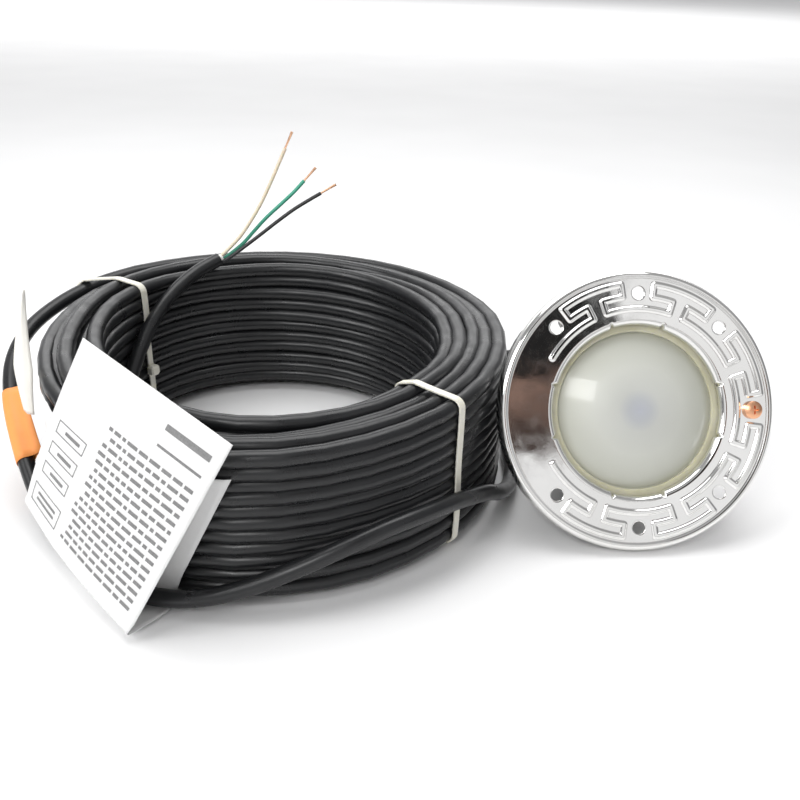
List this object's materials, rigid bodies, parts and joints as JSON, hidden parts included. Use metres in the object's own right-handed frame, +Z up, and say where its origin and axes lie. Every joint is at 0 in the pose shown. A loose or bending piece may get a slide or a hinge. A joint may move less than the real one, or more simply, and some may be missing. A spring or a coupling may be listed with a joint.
{
  "type": "underwater pool light",
  "caption": "Round underwater spa light: embossed stainless face ring, domed glass lens, LED module in a stainless can, cable gland and a long coiled three-core cord.",
  "frame": {"origin": "on the floor, under the middle of the lamp's own box (its cord, coil, ties and labels left out)", "axes": "+Z up from the floor; +X to the right seen from the lens side; the lens faces -Y and is leant back by 26.1 degrees"},
  "size_m": [0.474, 0.3408, 0.2002],
  "materials": {
    "polished_steel": "mirror polished stainless sheet with an embossed key pattern",
    "sheet_steel": "satin stainless",
    "copper_plated": "copper-coloured bronze screw",
    "black_rubber": "matt black rubber",
    "lens_glass": "frosted, faintly green glass",
    "silicone": "translucent khaki silicone",
    "brass": "turned brass",
    "bronze": "turned bronze",
    "white_plastic": "white moulded plastic",
    "optic_plastic": "clear moulded plastic",
    "led_phosphor": "yellow phosphor",
    "board_white": "white solder mask on aluminium",
    "thermal_pad": "grey-blue silicone",
    "aluminium": "cast, bead blasted",
    "board_green": "green solder mask",
    "winding_tape": "yellow polyester tape on ferrite",
    "capacitor_sleeve": "heat-shrunk sleeve",
    "copper_winding": "enamelled copper on ferrite",
    "terminal_green": "moulded green",
    "fuse_glass": "glass tube with metal caps",
    "black_plastic": "black moulded plastic",
    "insulation_white": "ivory insulation",
    "insulation_black": "black insulation",
    "insulation_green": "green insulation",
    "insulation_red": "red insulation",
    "cord_jacket": "satin charcoal jacket",
    "cord_filler": "white filler",
    "bare_copper": "bare twisted strands",
    "nylon_tie": "natural nylon",
    "tag_paper": "coated white paper",
    "orange_label": "orange adhesive label"
  },
  "bodies": {
    "root": {"face_ring": "polished_steel", "niche_hook": "sheet_steel", "ring_clips": "sheet_steel", "lens": "lens_glass", "lens_gasket": "silicone", "clamp_band": "sheet_steel", "clamp_trunnion": "brass", "clamp_nut": "brass", "can": "sheet_steel", "reflector": "white_plastic", "led_optic": "optic_plastic", "led_chips": "led_phosphor", "led_board": "board_white", "thermal_pad": "thermal_pad", "heat_sink": "aluminium", "board_screws": "sheet_steel", "chassis_posts": "sheet_steel", "chassis_screws": "sheet_steel", "driver_board": "board_green", "transformer": "winding_tape", "capacitors": "capacitor_sleeve", "inductor": "copper_winding", "terminal_block": "terminal_green", "fuse": "fuse_glass", "thermal_cutout": "black_plastic", "ground_stud": "brass", "ground_nut": "brass", "ground_terminal": "sheet_steel", "wire_white": "insulation_white", "wire_black": "insulation_black", "wire_green": "insulation_green", "led_wires": "insulation_red", "gland_washer": "black_rubber", "gland_body": "bronze", "gland_locknut": "bronze", "gland_seal": "black_rubber", "thrust_washer": "sheet_steel", "gland_nut": "bronze", "strain_relief": "black_rubber", "cord_entry": "cord_jacket", "cord_lead": "cord_jacket", "cord_coil": "cord_jacket", "cord_tail": "cord_jacket", "cord_filler": "cord_filler", "core_white": "insulation_white", "core_green": "insulation_green", "core_black": "insulation_black", "strands_white": "bare_copper", "strands_green": "bare_copper", "strands_black": "bare_copper", "tie_left": "nylon_tie", "tie_right": "nylon_tie", "paper_tag": "tag_paper", "cord_label": "orange_label", "label_flag": "tag_paper"},
    "screw_retainer": {"screw_retainer": "black_rubber"},
    "pilot_screw": {"pilot_screw": "copper_plated"},
    "clamp_screw": {"clamp_screw": "sheet_steel"}
  },
  "joints": [
    {"name": "pilot_screw_float", "type": "slide", "parent": "root", "child": "screw_retainer", "axis": [0, -0.8982, 0.4397], "range_m": [0, 0.012]},
    {"name": "pilot_screw_spin", "type": "hinge", "parent": "screw_retainer", "child": "pilot_screw", "pos_m": [0.0687, -0.052, 0.07805], "axis": [0, -0.8982, 0.4397], "continuous": true},
    {"name": "clamp_screw_spin", "type": "hinge", "parent": "root", "child": "clamp_screw", "pos_m": [-0.02449, -0.01612, 0.12632], "axis": [0.9239, 0.1683, 0.3437], "range_deg": [0, 1440]}
  ]
}
